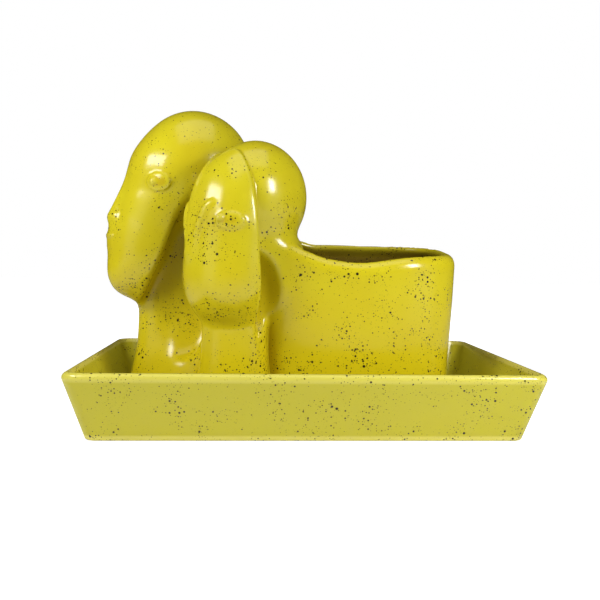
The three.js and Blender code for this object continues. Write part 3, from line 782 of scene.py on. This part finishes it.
@dataclass(frozen=True)
class SpeckledGlaze:
    """Glossy yellow stoneware glaze with iron specks.

    Poured or dipped over slip-cast clay: a thick, glassy coat that turns thin and pale over
    convex edges and shows dark iron specks that burned through it. Creases are darkened,
    partly as the glaze pools there and partly as painted shade. The lower parts are painted
    brighter, as painted bounce light from the tray, and the inside of the vessel is painted
    dark, as painted shade. The bare foot, wiped clean before the firing, shows pale matt clay.
    Ramps run over noise (clouds, patches), over height in metres (painted bounce light, crowns)
    or over curvature in 1/mm.
    """

    name: str
    colour: str = "C8BB1E"
    # Brighter yellow painted on the lower parts: painted light, standing for light bounced up from the
    # tray.
    low_bounce_colour: str = "E0CC14"
    thin_colour: str = "E4DA6A"
    # Dark olive painted on the inside of the vessel: painted shade.
    inner_shade_colour: str = "6E5A16"
    # Darker yellow for the random clouds, and for creases, where it is partly glaze pooling and partly
    # painted shade.
    pooled_and_shade_colour: str = "B89F12"
    clay_colour: str = "D8CDB4"
    clouds: Ramp = Ramp(0.35, 0.7, 0.0, 0.35)
    # Painted bounce light: share of that yellow, from none at 125 mm high up to 0.8 at 45 mm.
    low_bounce_light: Ramp = Ramp(125 * MM, 45 * MM, 0.0, 0.8)
    thin_edges: Ramp = Ramp(0.06, 0.4, 0.0, 0.3)
    # Crease darkening by curvature: partly glaze pooling, partly painted shade.
    pooling_and_crease_shade: Ramp = Ramp(-0.05, -0.4, 0.0, 0.7)
    patches: Ramp = Ramp(0.38, 0.62, 0.68, 1.35)
    crowns: Ramp = Ramp(120 * MM, 200 * MM, 1.08, 0.68)
    layers: tuple[SpeckLayer, ...] = (
        SpeckLayer(1.5, 0.18, 0.4, "A89A1E"),
        SpeckLayer(1.8, 0.24, 0.52, "2B2410"),
        SpeckLayer(2.9, 0.3, 0.8, "2B2410"),
    )
    speck_blur: float = 0.22
    speck_rarity: float = 2.5
    cloud_size: float = 38.0
    patch_size: float = 24.0
    ripple_size: float = 7.0
    ripple_depth: float = 0.12
    ripple_strength: float = 0.25
    roughness: float = 0.2
    clay_roughness: float = 0.8
    ior: float = 1.52
    bare_below: float = 0.25

    def dots(self, tree: Tree, place: Socket, gather: Socket, layer: SpeckLayer) -> Socket:
        """Round specks of varied size, one in each Voronoi cell and most of them small.

        Args:
            tree: The material's nodes.
            place: Object coordinates in metres.
            gather: Number near 1 that grows and shrinks the specks from place to place.
            layer: Spacing and size of the specks.

        Returns:
            Socket that is 1 in a speck and 0 outside.
        """
        cell = layer.spacing
        cells = add_node(tree, "TexVoronoi", {"feature": "F1", "Scale": 1 / (cell * MM)},
                         {"Vector": place})
        chance = add_node(tree, "SeparateColor", links={0: cells.outputs["Color"]})
        rare = add_node(tree, "Math", {"operation": "POWER", 1: self.speck_rarity},
                        {0: chance.outputs[0]})
        size = add_node(tree, "MapRange", {"To Min": layer.least / cell, "To Max": layer.most / cell},
                        {"Value": rare.outputs[0]})
        grown = add_node(tree, "Math", {"operation": "MULTIPLY"}, {0: size.outputs[0], 1: gather})
        core = add_node(tree, "Math", {"operation": "SUBTRACT", 1: self.speck_blur / cell},
                        {0: grown.outputs[0]})
        dot = add_node(
            tree, "MapRange", {"interpolation_type": "SMOOTHSTEP", "To Min": 1.0, "To Max": 0.0},
            {"Value": cells.outputs["Distance"], "From Min": core.outputs[0],
             "From Max": grown.outputs[0]})
        return dot.outputs[0]

    def blend_colour(self, tree: Tree, share: Socket, base: Socket, colour: str) -> Socket:
        """Mixes a fixed colour, as six hex digits, into a base colour by a share from 0 to 1."""
        mix = add_node(tree, "Mix", {"data_type": "RGBA", 7: linear(colour)}, {0: share, 6: base})
        return mix.outputs[2]

    def skin(self, tree: Tree, place: Socket, height: Socket) -> Socket:
        """Colour without specks: clouds, painted bounce light, thin edges, creases with pooling and
        painted shade, painted shade inside.

        Args:
            tree: The material's nodes.
            place: Object coordinates in metres.
            height: Their Z.

        Returns:
            The colour.
        """
        curve = add_node(tree, "Attribute", {"attribute_name": "curvature"}).outputs["Fac"]
        # Share by depth under the outer skin, which sets the painted shade on the inside.
        within = add_node(tree, "Attribute", {"attribute_name": "within"}).outputs["Fac"]
        cloud = add_node(tree, "TexNoise", {"Scale": 1 / (self.cloud_size * MM), "Detail": 2.0},
                         {"Vector": place}).outputs["Fac"]
        base = add_node(tree, "RGB")
        base.outputs[0].default_value = linear(self.colour)
        colour = base.outputs[0]
        for value, ramp, tint in (
            (cloud, self.clouds, self.pooled_and_shade_colour),
            # Painted bounce light: the lower parts turn a brighter yellow.
            (height, self.low_bounce_light, self.low_bounce_colour),
            (curve, self.thin_edges, self.thin_colour),
            # Crease darkening: partly glaze pooling, partly painted shade.
            (curve, self.pooling_and_crease_shade, self.pooled_and_shade_colour),
        ):
            share = add_node(tree, "MapRange", ramp.settings(), {"Value": value}).outputs[0]
            colour = self.blend_colour(tree, share, colour, tint)
        # Painted shade: the inside of the vessel turns dark olive.
        return self.blend_colour(tree, within, colour, self.inner_shade_colour)

    def gathering(self, tree: Tree, place: Socket, height: Socket) -> Socket:
        """Growth of the specks: in patches, and less towards the crowns.

        Args:
            tree: The material's nodes.
            place: Object coordinates in metres.
            height: Their Z.

        Returns:
            Number near 1 by which every speck's radius is multiplied.
        """
        drift = add_node(tree, "TexNoise", {"Scale": 1 / (self.patch_size * MM), "Detail": 1.0},
                         {"Vector": place}).outputs["Fac"]
        patchy = add_node(tree, "MapRange", self.patches.settings(), {"Value": drift})
        lower = add_node(tree, "MapRange", self.crowns.settings(), {"Value": height})
        both = {0: patchy.outputs[0], 1: lower.outputs[0]}
        return add_node(tree, "Math", {"operation": "MULTIPLY"}, both).outputs[0]

    def make(self) -> bpy.types.Material:
        """Builds the node material: skin, three layers of specks, bare clay and a fine ripple.

        Returns:
            The material.
        """
        material = bpy.data.materials.new(self.name)
        material.use_nodes = True
        tree = material.node_tree
        tree.nodes.clear()
        place = add_node(tree, "TexCoord").outputs["Object"]
        height = add_node(tree, "SeparateXYZ", links={0: place}).outputs["Z"]
        colour = self.skin(tree, place, height)
        gather = self.gathering(tree, place, height)
        for layer in self.layers:
            dots = self.dots(tree, place, gather, layer)
            colour = self.blend_colour(tree, dots, colour, layer.colour)
        bare = add_node(tree, "Math", {"operation": "LESS_THAN", 1: self.bare_below * MM},
                        {0: height}).outputs[0]
        colour = self.blend_colour(tree, bare, colour, self.clay_colour)
        rough = add_node(tree, "MapRange", {"To Min": self.roughness, "To Max": self.clay_roughness},
                         {"Value": bare})
        ripple = add_node(tree, "TexNoise", {"Scale": 1 / (self.ripple_size * MM), "Detail": 2.0},
                          {"Vector": place})
        bump = add_node(
            tree, "Bump", {"Strength": self.ripple_strength, "Distance": self.ripple_depth * MM},
            {"Height": ripple.outputs["Fac"]})
        shader = add_node(
            tree, "BsdfPrincipled", {"IOR": self.ior},
            {"Base Color": colour, "Roughness": rough.outputs[0], "Normal": bump.outputs[0]})
        add_node(tree, "OutputMaterial", links={"Surface": shader.outputs[0]})
        return material


@dataclass
class Planter:
    """The one hollow casting: figures and vessel, open at the rim and at the drain."""

    x: float = 38.5
    y: float = 1.0
    figures: Figures = field(default_factory=Figures)
    vessel: Vessel = field(default_factory=Vessel)
    foot_tuck: float = 2.5
    vent_radius: float = 4.0
    lip_blend: float = 3.0
    unevenness: float = 0.35
    wave_spans: tuple[float, ...] = (9.1, 13.0, 8.3, 17.0, 10.7, 21.0)
    wave_warp: float = 0.7
    wave_phases: tuple[float, float] = (1.3, 0.4)
    face_step: float = 1.45
    nape_step: float = 1.76
    head_step: float = 2.2
    vessel_step: float = 3.2
    # The close part of the grid ends this far behind the tall head and beside the short one.
    behind_tall: float = 12.0
    beside_short: float = 22.0
    face_heights: tuple[float, float] = (88.0, 190.0)
    grid_margin: float = 3.0
    curvature_reach: float = 1.5
    # The inside is painted dark, as painted shade, between these depths under the outer skin.
    inner_shade_depths: tuple[float, float] = (1.0, 5.0)
    bare_margin: float = 0.2

    def hand_wobble(self, point: Point) -> Array:
        """Slow waves in the cast surface: the mean of three sines of 50 to 130 mm length.

        Args:
            point: Places from the middle of the vessel.

        Returns:
            Small distance to add to the field.
        """
        x, y, z = point
        a, b, c, d, e, f = self.wave_spans
        along = np.sin(x / a + self.wave_warp * np.sin(z / b))
        across = np.sin(y / c + z / d + self.wave_phases[0])
        return self.unevenness * (along + across + np.sin(z / e + x / f + self.wave_phases[1])) / 3

    def foot_tuck_in(self, z: Array) -> Array:
        """Quarter-round by which every wall tucks in where it meets the foot."""
        depth = np.clip(self.foot_tuck - (z - self.vessel.foot_z), 0, self.foot_tuck)
        return self.foot_tuck - np.sqrt(self.foot_tuck ** 2 - depth ** 2)

    def outside(self, point: Point) -> Array:
        """Outer form of the casting, above its flat foot."""
        body = self.figures.distance(point, self.vessel.outside(point))
        body = body + self.foot_tuck_in(point[2]) + self.hand_wobble(point)
        return np.maximum(body, self.vessel.foot_z - point[2])

    def inside(self, point: Point) -> Array:
        """Both hollows: the vessel's, and the figures' plain form drawn in, a wall apart.

        Args:
            point: Places from the middle of the vessel.

        Returns:
            Field of both hollows, negative inside.
        """
        x, y, z = point
        wall = self.vessel.wall
        away = np.full(x.shape, FAR_AWAY)
        raised = (x, y, np.maximum(z, self.vessel.rim_height))
        nape = self.figures.distance(raised, away, detailed=False)
        opening = trim(self.vessel.inside(point), wall - nape, self.vessel.rim_round)
        beside = wall - np.maximum(opening, z - self.vessel.rim_height)
        figures = self.figures.distance(point, away, detailed=False)
        hollow = trim(trim(figures + wall, beside, wall), self.vessel.foot_z + wall - z, wall)
        return np.minimum(hollow, opening)

    def vent(self, point: Point) -> Array:
        """Hole under the taller neck, which lets the closed hollow breathe in the kiln."""
        neck = self.figures.tall_neck
        hole = np.hypot(point[0] - neck.x, point[1] - neck.y) - self.vent_radius
        return np.maximum(hole, point[2] - self.vessel.foot_z - 2 * self.vessel.wall)

    def distance(self, point: Point) -> Array:
        """Clay: outside less the hollows, with an eased lip, less the cuts in the foot."""
        clay = trim(self.outside(point), -self.inside(point), self.lip_blend)
        cuts = np.minimum(self.vessel.foot_cuts(point), self.vent(point))
        return np.maximum(clay, -cuts)

    def grid(self) -> SurfaceNet:
        """Grid lines, close over the faces and wider over the plain vessel.

        Returns:
            The empty net on those lines.
        """
        low, high = (np.array(corner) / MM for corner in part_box("planter"))
        offset = np.array([self.x, self.y, 0.0])
        low, high = low - offset - self.grid_margin, high - offset + self.grid_margin
        heads = self.figures
        behind = heads.short_nape.top[0] + heads.short_nape.tip_radius
        tall_x = heads.tall_head.place.x + self.behind_tall
        short_y = heads.short_head.place.y + self.beside_short
        return SurfaceNet((
            graded_lines([low[0], tall_x, behind, high[0]],
                         [self.face_step, self.nape_step, self.vessel_step]),
            graded_lines([low[1], short_y, high[1]], [self.face_step, self.head_step]),
            graded_lines([low[2], *self.face_heights, high[2]],
                         [self.vessel_step, self.face_step, self.head_step]),
        ))

    def curvature(self, points: Array) -> Array:
        """Mean curvature in 1/mm, positive on edges: half the field's Laplacian over a cross."""
        around = sum(
            self.outside((points + side * self.curvature_reach * axis).T)
            for axis in np.eye(3) for side in (-1, 1)
        )
        return (around - 6 * self.outside(points.T)) / (2 * self.curvature_reach ** 2)

    def build(self) -> bpy.types.Object:
        """Makes the mesh, with normals taken from the field's own slope.

        Returns:
            The casting's object.
        """
        net = self.grid()
        points, quads = net.build(self.distance)
        normals = net.slope(self.distance, points)
        normals /= np.maximum(np.linalg.norm(normals, axis=1, keepdims=True), LEAST_DIVISOR)
        curve = self.curvature(points)
        # Share of painted shade on the inside, by depth under the outer skin.
        within = eased_step(*self.inner_shade_depths, -self.outside(points.T))
        points = points + np.array([self.x, self.y, 0.0])
        thing = new_mesh_object("planter_casting", points, quads, normals)
        add_point_value(thing, "curvature", curve)
        add_point_value(thing, "within", within)
        return thing

    def dress(self, thing: bpy.types.Object) -> None:
        """Gives the casting its glaze and ties it to the frame."""
        bare_below = self.vessel.foot_z + self.bare_margin
        glaze = SpeckledGlaze("speckled_gloss_glaze", bare_below=bare_below)
        thing.data.materials.append(glaze.make())
        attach(thing, Body.PLANTER.value)
        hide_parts("planter")


@dataclass
class DripTray:
    """Flared rectangular tray: one wall section carried round a rounded rectangle.

    The corners' radius falls by "corner_loss" for each millimetre of inset.
    """

    half_length: float = 151.21
    half_width: float = 101.21
    height: float = 43.4
    wall: float = 5.0
    floor: float = 6.0
    flare: float = 13.3
    rim_outer: float = 3.5
    rim_inner: float = 1.4
    corner: float = 10.0
    corner_loss: float = 0.2
    fillet: float = 6.0
    ease: float = 1.2
    corner_steps: int = 16
    side_steps: int = 40
    ease_steps: int = 4
    face_steps: int = 12
    rim_steps: int = 12
    lip_steps: int = 6
    fillet_steps: int = 8

    def section(self) -> Array:
        """The wall's section, from the underside up over the rim and down to the floor.

        Returns:
            Rows of inset from the rim's outline, height and curvature, in millimetres.
        """
        lean = math.atan2(self.flare, self.height)
        slant = 1 / math.cos(lean)

        def outer(z: float) -> float:
            """Inset of the wall's outer face at a height."""
            return self.flare * (1 - z / self.height)

        def arc(inset: float, z: float, radius: float, start: float, end: float, steps: int) -> Array:
            """Arc about a centre, from one angle above the outward direction to another."""
            angle = np.linspace(start, end, steps + 1)
            bend = np.full(angle.shape, math.copysign(1 / radius, end - start))
            return np.stack([inset - radius * np.cos(angle), z + radius * np.sin(angle), bend], axis=1)

        def face(shift: float, low: float, high: float, steps: int) -> Array:
            """Straight stretch of the wall, between its ends."""
            z = np.linspace(low, high, steps + 2)[1:-1]
            return np.stack([outer(z) + shift, z, 0 * z], axis=1)

        outer_z = self.height - self.rim_outer
        inner_z = self.height - self.rim_inner
        fillet_z = self.floor + self.fillet
        inner_x = outer(inner_z) + self.wall - self.rim_inner * slant
        fillet_x = outer(fillet_z) + self.wall + self.fillet * slant
        return np.concatenate([
            arc(outer(self.ease) + self.ease * slant, self.ease, self.ease, -math.pi / 2, -lean,
                self.ease_steps),
            face(0.0, self.ease, outer_z, self.face_steps),
            arc(outer(outer_z) + self.rim_outer * slant, outer_z, self.rim_outer, -lean,
                math.pi / 2, self.rim_steps),
            arc(inner_x, inner_z, self.rim_inner, math.pi / 2, math.pi - lean, self.lip_steps),
            face(self.wall, inner_z, fillet_z, self.face_steps),
            arc(fillet_x, fillet_z, self.fillet, -lean, -math.pi / 2, self.fillet_steps),
        ])

    def path(self, inset: Array) -> tuple[Array, Array]:
        """Plans of the rings: straight sides and quarter-circle corners, anticlockwise.

        Args:
            inset: How far in from the rim's outline each ring is, as a column.

        Returns:
            x and y with one row for each ring.
        """
        radius = self.corner - self.corner_loss * inset
        reach_x = self.half_length - inset - radius
        reach_y = self.half_width - inset - radius
        turn = np.linspace(0, math.pi / 2, self.corner_steps + 1)
        share = np.linspace(0, 1, self.side_steps + 1)[1:-1]
        xs, ys = [], []
        for quarter, (side_x, side_y) in enumerate(((1, 1), (-1, 1), (-1, -1), (1, -1))):
            angle = turn + quarter * math.pi / 2
            x = side_x * reach_x + radius * np.cos(angle)
            y = side_y * reach_y + radius * np.sin(angle)
            across, along = (-2 * x[:, -1:], 0) if quarter % 2 == 0 else (0, -2 * y[:, -1:])
            xs += [x, x[:, -1:] + across * share]
            ys += [y, y[:, -1:] + along * share]
        return np.concatenate(xs, axis=1), np.concatenate(ys, axis=1)

    def build(self) -> bpy.types.Object:
        """Makes the mesh: the section's rings, closed below and on the floor by one face each.

        Returns:
            The tray's object.
        """
        section = self.section()
        inset, z, curve = (column[:, None] for column in section.T)
        x, y = self.path(inset)
        rings, stations = x.shape
        points = np.stack([x, y, np.broadcast_to(z, x.shape)], axis=-1).reshape(-1, 3)
        low = (np.arange(rings - 1)[:, None] * stations + np.arange(stations)).ravel()
        step = (np.arange(rings - 1)[:, None] * stations + (np.arange(stations) + 1) % stations).ravel()
        walls = np.stack([low, step, step + stations, low + stations], axis=1)
        thing = new_mesh_object("tray_casting", points, walls)
        add_point_value(thing, "curvature", np.broadcast_to(curve, x.shape).ravel())
        self.close(thing)
        return thing

    def close(self, thing: bpy.types.Object) -> None:
        """Fills the floor and the underside with one flat face each."""
        shape = bmesh.new()
        shape.from_mesh(thing.data)
        open_edges = [edge for edge in shape.edges if edge.is_boundary]
        bmesh.ops.holes_fill(shape, edges=open_edges, sides=0)
        bmesh.ops.recalc_face_normals(shape, faces=shape.faces)
        shape.to_mesh(thing.data)
        shape.free()

    def dress(self, thing: bpy.types.Object) -> None:
        """Gives the tray its glaze, thinner at the edges and less specked, and its body."""
        # The tray's painted bounce light takes the tray's own colour, so none shows on it.
        glaze = SpeckledGlaze(
            "speckled_gloss_glaze_tray", colour="C4BB2C", low_bounce_colour="C4BB2C", bare_below=0.15,
            thin_edges=Ramp(0.06, 0.4, 0.0, 0.8), patches=Ramp(0.38, 0.62, 0.612, 1.215))
        thing.data.materials.append(glaze.make())
        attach(thing, Body.TRAY.value)
        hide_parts("drip_tray")


@dataclass(frozen=True)
class PhotoCamera:
    """Camera fitted to the tray's outline in the photograph, with its turns in degrees."""

    place: tuple[float, float, float] = (-33.2, -555.0, 114.4)
    yaw: float = 3.353
    pitch: float = 3.226
    roll: float = 0.841
    focal_pixels: float = 760.2
    image_pixels: float = 600.0
    sensor: float = 36.0
    nearest: float = 10.0
    farthest: float = 20000.0

    def make(self) -> None:
        """Adds the camera and makes it the scene's."""
        yaw, pitch, roll = (math.radians(a) for a in (self.yaw, self.pitch, self.roll))
        forward = Vector((
            math.sin(yaw) * math.cos(pitch), math.cos(yaw) * math.cos(pitch), -math.sin(pitch)
        ))
        level = Vector((math.cos(yaw), -math.sin(yaw), 0))
        upright = level.cross(forward)
        right = math.cos(roll) * level + math.sin(roll) * upright
        up = math.cos(roll) * upright - math.sin(roll) * level
        data = bpy.data.cameras.new("photo_camera")
        data.sensor_width = self.sensor
        data.lens = self.focal_pixels * self.sensor / self.image_pixels
        data.clip_start, data.clip_end = self.nearest * MM, self.farthest * MM
        camera = bpy.data.objects.new("photo_camera", data)
        axes = Matrix((right, up, -forward)).transposed()
        camera.matrix_world = Matrix.Translation(Vector(self.place) * MM) @ axes.to_4x4()
        bpy.context.scene.collection.objects.link(camera)
        bpy.context.scene.camera = camera


@dataclass(frozen=True)
class Lamp:
    """A rectangular lamp that faces the middle of the object, mirrored in its glaze or not."""

    name: str
    place: tuple[float, float, float]
    width: float
    height: float
    power: float
    mirrored: bool = True

    def make(self, target: Vector) -> None:
        """Adds the lamp, turned towards a target in metres."""
        data = bpy.data.lights.new(self.name, "AREA")
        data.shape = "RECTANGLE"
        data.size = self.width * MM
        data.size_y = self.height * MM
        data.energy = self.power
        lamp = bpy.data.objects.new(self.name, data)
        lamp.location = Vector(self.place) * MM
        lamp.visible_glossy = self.mirrored
        lamp.rotation_mode = "QUATERNION"
        lamp.rotation_quaternion = (lamp.location - target).to_track_quat("Z", "Y")
        bpy.context.scene.collection.objects.link(lamp)


@dataclass
class Studio:
    """Pale floor, dim even sky, two small lamps close by, and weak panels round and above."""

    lamps: tuple[Lamp, ...] = (
        Lamp("left_lamp", (-276, -188, 290), 190, 90, 0.68),
        Lamp("right_lamp", (260, -289, 280), 60, 130, 0.95),
        Lamp("left_panel", (-850, -650, 150), 500, 500, 3.4, mirrored=False),
        Lamp("right_panel", (850, -650, 150), 500, 500, 2.7, mirrored=False),
        Lamp("overhead_panel", (100, -300, 1300), 1000, 1000, 4.0),
        Lamp("back_panel", (0, 1100, 450), 700, 500, 3.6, mirrored=False),
    )
    sky: float = 0.03
    floor_half: float = 3000.0
    floor_drop: float = 0.2
    floor_glow: float = 0.6
    floor_sweep: tuple[float, float] = (200.0, 700.0)
    paper_colour: str = "F4F4F2"
    aim: tuple[float, float, float] = (0.0, 0.0, 90.0)

    def make_world(self) -> None:
        """Even white sky: full white to the camera, dim as a light and in reflections."""
        world = bpy.data.worlds.new("studio_sky")
        bpy.context.scene.world = world
        world.use_nodes = True
        tree = world.node_tree
        tree.nodes.clear()
        path = add_node(tree, "LightPath")
        seen = path.outputs["Is Camera Ray"]
        strength = add_node(tree, "MapRange", {"To Min": self.sky, "To Max": 1.0}, {"Value": seen})
        sky = add_node(tree, "Background", {"Color": (1, 1, 1, 1)}, {"Strength": strength.outputs[0]})
        add_node(tree, "OutputWorld", links={"Surface": sky.outputs[0]})

    def make_floor(self) -> None:
        """White floor, a little below the tray's underside so that the two don't flicker.

        It is matt white paper, which scatters light evenly: the eye sees no gloss on it, only
        the object's shadow. It glows to the camera alone, and fully so far from the object.
        """
        half, z = self.floor_half * MM, -self.floor_drop * MM
        mesh = bpy.data.meshes.new("studio_floor")
        corners = [(-half, -half, z), (half, -half, z), (half, half, z), (-half, half, z)]
        mesh.from_pydata(corners, [], [(0, 1, 2, 3)])
        floor = bpy.data.objects.new("studio_floor", mesh)
        bpy.context.scene.collection.objects.link(floor)
        material = bpy.data.materials.new("white_paper_floor")
        material.use_nodes = True
        tree = material.node_tree
        tree.nodes.clear()
        place = add_node(tree, "TexCoord").outputs["Object"]
        away = add_node(tree, "VectorMath", {"operation": "LENGTH"}, {0: place})
        start, end = (distance * MM for distance in self.floor_sweep)
        sweep = add_node(tree, "MapRange", {"interpolation_type": "SMOOTHSTEP", "From Min": start,
                                            "From Max": end, "To Min": self.floor_glow, "To Max": 1.0},
                         {"Value": away.outputs["Value"]})
        seen = add_node(tree, "LightPath").outputs["Is Camera Ray"]
        glow = add_node(tree, "Math", {"operation": "MULTIPLY"}, {0: sweep.outputs[0], 1: seen})
        light = add_node(tree, "Emission", links={"Strength": glow.outputs[0]})
        paper = add_node(tree, "BsdfDiffuse", {"Color": linear(self.paper_colour)})
        both = add_node(tree, "AddShader", links={0: paper.outputs[0], 1: light.outputs[0]})
        add_node(tree, "OutputMaterial", links={"Surface": both.outputs[0]})
        mesh.materials.append(material)

    def make(self) -> None:
        """Adds the sky, the floor and the lamps."""
        self.make_world()
        self.make_floor()
        for lamp in self.lamps:
            lamp.make(Vector(self.aim) * MM)


def main() -> None:
    """Builds the camera, the studio and both castings, and reports each one."""
    logging.basicConfig(level=logging.INFO)
    bpy.context.scene.view_settings.view_transform = "Standard"
    PhotoCamera().make()
    Studio().make()
    for part in (Planter(), DripTray()):
        thing = part.build()
        part.dress(thing)
        LOG.info("%s: %d faces", thing.name, len(thing.data.polygons))


if __name__ == "__main__":
    main()
